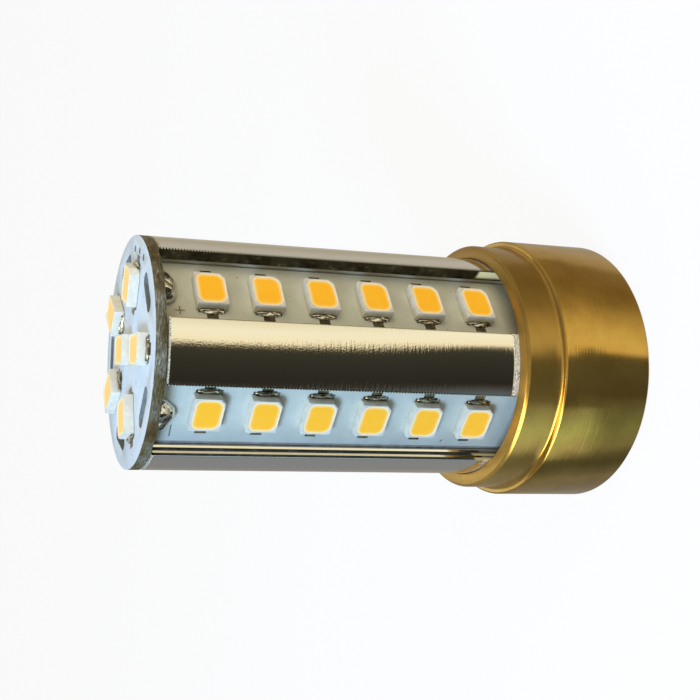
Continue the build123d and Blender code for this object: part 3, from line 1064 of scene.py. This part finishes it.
# How far each row was soldered off its slot's middle, in mm, at the light end and beside the collar
led_asides = ((0.17, 0.31), (0.1, 0.1), (0.1, 0.1), (0.1, 0.1), (0.26, -0.03))
for number, turn in enumerate(slot_turns, start=1):
    for place in range(6):
        start, end = led_asides[number - 1]
        spot = seat(turn, strip_face, first_led - place * led_pitch, start + (end - start) * place / 5)
        led = settle(package, f"package_{number}_{place + 1}", spot)
        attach(led, "root")
        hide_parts(f"led_{number}_{place + 1}")
flat_on_top = Matrix(((0, 1, 0, 0), (-1, 0, 0, 0), (0, 0, 1, board_high * mm), (0, 0, 0, 1)))
for number, turn in enumerate(band_turns, start=1):
    reach = Matrix.Translation((led_ring * mm, 0, board_high * mm))
    spot = Matrix.Rotation(math.radians(turn), 4, "Z") @ reach
    led = settle(package, f"end_package_{number}", spot)
    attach(led, "root")
    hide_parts(f"end_led_{number}")
# The middle package was soldered a little off the axis
off_axis = Matrix.Translation((0.12 * mm, 0.29 * mm, 0))
led = settle(package, "end_package_centre", off_axis @ flat_on_top)
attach(led, "root")
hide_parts("end_led_centre")
bpy.data.objects.remove(package)


# Solder joints at the light end
# One large lump of solder joins each strip to the end board's underside. The iron drew each up
# by hand, so no two have the same lumps: each has its own offset, share of the width, and seed.
lump_radius, lump_high, lump_wander = 1.9, 1.55, 0.2
lump_shapes = ((0.35, 1.0, 3), (0.05, 0.95, 8), (-0.2, 1.05, 12), (0.1, 1.0, 21), (-0.35, 0.95, 5))
for number, (turn, (side, width, seed)) in enumerate(zip(slot_turns, lump_shapes), start=1):
    select_only()
    bpy.ops.mesh.primitive_uv_sphere_add(segments=16, ring_count=10, radius=1)
    lump = bpy.context.object
    lump.scale = (lump_radius * width * mm, lump_radius * mm, lump_high * mm)
    bpy.ops.object.transform_apply()
    bpy.ops.object.mode_set(mode="EDIT")
    bpy.ops.mesh.select_all(action="SELECT")
    bpy.ops.transform.vertex_random(offset=lump_wander * mm, uniform=0.0, normal=0.8, seed=seed)
    bpy.ops.object.mode_set(mode="OBJECT")
    smoothing = lump.modifiers.new("smoothing", "SUBSURF")
    smoothing.levels = smoothing.render_levels = 2
    bpy.ops.object.modifier_apply(modifier=smoothing.name)
    bpy.ops.object.mode_set(mode="EDIT")
    # Cut off along the strip's face and along the end board's underside
    for side_of_corner in ((0, 0, 1), (0, -1, 0)):
        bpy.ops.mesh.select_all(action="SELECT")
        bpy.ops.mesh.bisect(plane_co=(0, 0, 0), plane_no=side_of_corner, clear_inner=True, use_fill=True)
    bpy.ops.object.mode_set(mode="OBJECT")
    bpy.ops.object.shade_smooth_by_angle(angle=math.radians(60))
    lump.data.materials.append(tin)
    joint = settle(lump, f"solder_lump_{number}", seat(turn, strip_face, board_low, side))
    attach(joint, "root")
    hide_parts(f"solder_joint_{number}")
    bpy.data.objects.remove(lump)


# Insulator and contact pins
# A black moulded disc lies on the collar's ledge, and two plated pins are riveted through it.
# They end inside the skirt, so that the bulb stands on the collar's rim.
disc_radius, disc_thick, disc_middle, disc_rim, dish_deep = 11.0, 1.5, 8.75, 1.9, 0.2
select_only()
bpy.ops.mesh.primitive_cylinder_add(
    vertices=192, radius=disc_radius * mm, depth=disc_thick * mm, location=(0, 0, disc_middle * mm)
)
insulator = bpy.context.object
insulator.name = "insulator_disc"
bpy.ops.object.transform_apply()
bpy.ops.object.mode_set(mode="EDIT")
pick("FACE", lambda f: f.normal.z < -0.9)
bpy.ops.mesh.inset(thickness=disc_rim * mm)
bpy.ops.mesh.inset(thickness=0.1 * mm)
bpy.ops.mesh.extrude_region_move(TRANSFORM_OT_translate={"value": (0, 0, dish_deep * mm)})
bpy.ops.object.mode_set(mode="OBJECT")
soften(insulator, 0.06)

# Phenolic moulding: near black, satin, with a fine grain
phenolic = grained(
    "phenolic_moulding",
    {"Scale": 3.5 / mm, "Detail": 3.0},
    [(0.3, "#1A1918"), (0.7, "#2A2826")],
    {"Roughness": 0.48, "IOR": 1.6},
    relief=(0.25, 0.03),
)
insulator.data.materials.append(phenolic)
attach(insulator, "root")
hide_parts("base_insulator")

# Drawn nickel-plated pin: bright metal with fine rings from turning
pin_plate, tree = empty_material("nickel_plated_pin")
place = node(tree, "TexCoord")
stretch = node(tree, "Mapping", {"Scale": (0.2 / mm, 0.2 / mm, 9 / mm)}, {"Vector": (place, "Object")})
rings = node(tree, "TexNoise", {"Scale": 1.0, "Detail": 2.0}, {"Vector": (stretch, 0)})
marks = node(tree, "Bump", {"Strength": 0.2, "Distance": 0.02 * mm}, {"Height": (rings, "Fac")})
metal = node(
    tree,
    "BsdfPrincipled",
    {"Base Color": "#D8D2C4", "Metallic": 1.0, "Roughness": 0.24},
    {"Normal": (marks, 0)},
)
node(tree, "OutputMaterial", links={"Surface": (metal, 0)})
pin_spacing = 6.35
pin_rings = [(0.4, 0.7), (0.6, 0.9), (0.6, 7.5), (1.0, 7.5), (1.0, 8.0), (0.6, 8.0), (0.6, 9.5)]
for number, x in enumerate((-pin_spacing / 2, pin_spacing / 2), start=1):
    pin = turned(f"turned_pin_{number}", pin_rings, place=(x, 0), steps=64, solid=True)
    soften(pin, 0.04)
    pin.data.materials.append(pin_plate)
    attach(pin, "root")
    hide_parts(f"contact_pin_{number}")


# Driver inside the core
# Nothing of it shows. Each piece keeps its solid and gets the finish of the real one: a film
# sleeve, a green board, a sleeved capacitor, a moulded rectifier and two coated wires.
inner_finishes = {
    "polyester_film": (["insulating_sleeve"], "#D8CFAE", "#E6DEC2", 0.45, 0.9),
    "green_solder_mask": (["driver_board"], "#1F5A34", "#2B6E42", 0.4, 0.7),
    "capacitor_sleeve": (["smoothing_capacitor"], "#20232E", "#2C3040", 0.35, 0.8),
    "epoxy_moulding": (["bridge_rectifier"], "#161616", "#232322", 0.55, 2.5),
    "silicone_wire_coat": (["output_wire_1", "output_wire_2"], "#7E1A16", "#962420", 0.5, 1.5),
}
for name, (members, dark, light, roughness, waves_per_mm) in inner_finishes.items():
    stuff = grained(
        name,
        {"Scale": waves_per_mm / mm, "Detail": 3.0},
        [(0.3, dark), (0.7, light)],
        {"Roughness": roughness, "IOR": 1.5},
        relief=(0.2, 0.02),
    )
    for member in members:
        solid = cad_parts[member]
        solid.data.materials.clear()
        solid.data.materials.append(stuff)
